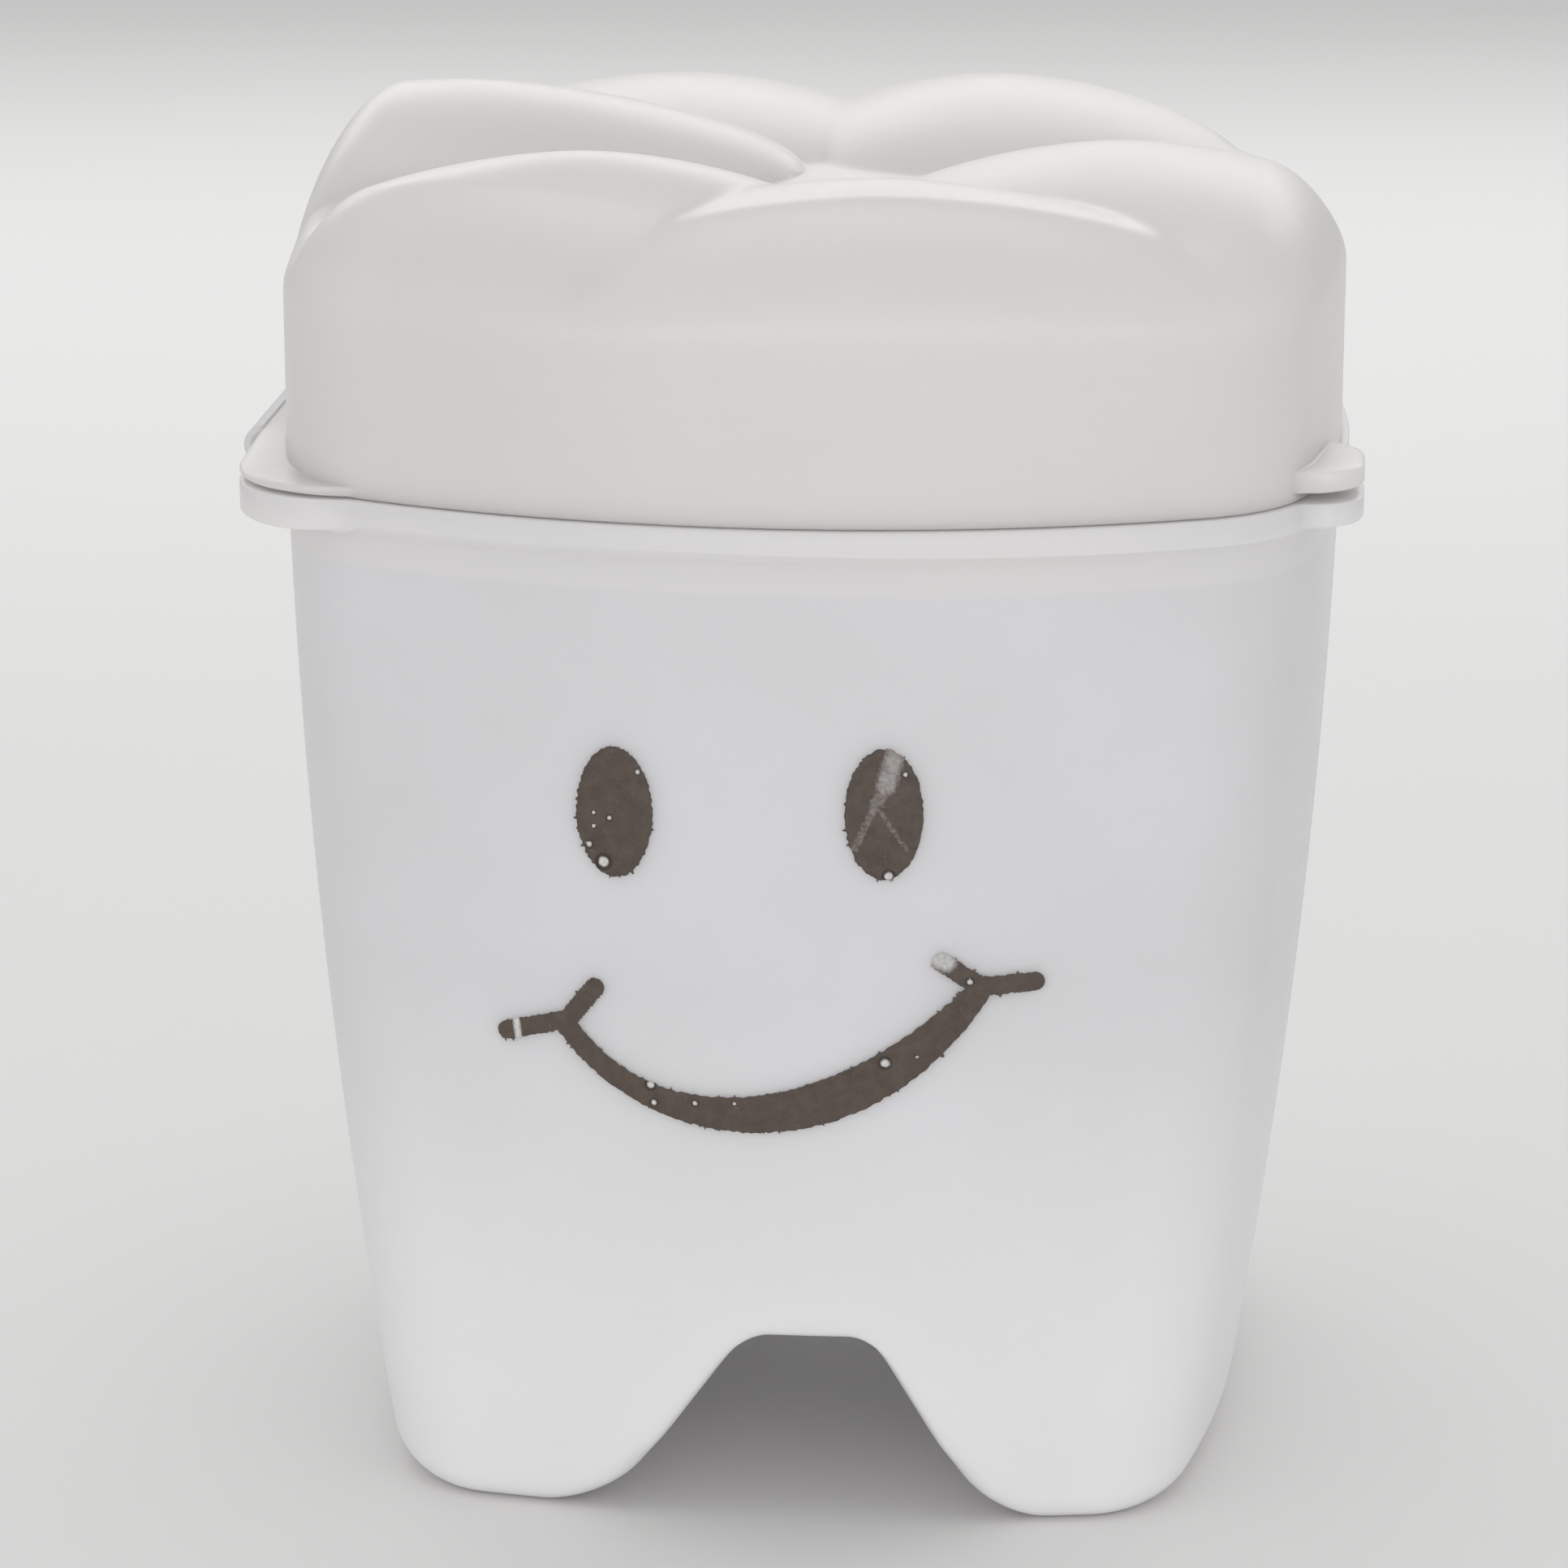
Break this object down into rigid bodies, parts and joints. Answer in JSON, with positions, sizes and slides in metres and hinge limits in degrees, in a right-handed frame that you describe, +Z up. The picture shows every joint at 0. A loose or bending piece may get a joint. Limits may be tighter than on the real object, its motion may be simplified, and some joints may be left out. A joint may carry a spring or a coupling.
{
  "type": "baby tooth box",
  "caption": "Small molar-shaped keepsake box in translucent plastic, with root-like feet, a printed smiling face and a cusped lid on a film hinge.",
  "frame": {"origin": "on the surface that the feet stand on, under the middle of the plan", "axes": "+Z up, printed face towards -Y, hinge at -X, thumb tab at +X"},
  "size_m": [0.0358, 0.0316, 0.0436],
  "materials": {
    "translucent_plastic": "natural polypropylene, milky and slightly translucent, satin moulded surface",
    "print_ink": "thin dark brown pad print, slightly speckled and scratched"
  },
  "bodies": {
    "body": {"body_shell": "translucent_plastic", "hinge_film": "translucent_plastic", "eye_left": "print_ink", "eye_right": "print_ink", "smile": "print_ink"},
    "lid": {"lid_shell": "translucent_plastic"}
  },
  "joints": [
    {"name": "lid_hinge", "type": "hinge", "parent": "body", "child": "lid", "pos_m": [-0.01828, 0, 0.0331], "axis": [0, -1, 0], "range_deg": [0, 180], "deforming": ["hinge_film"]}
  ]
}
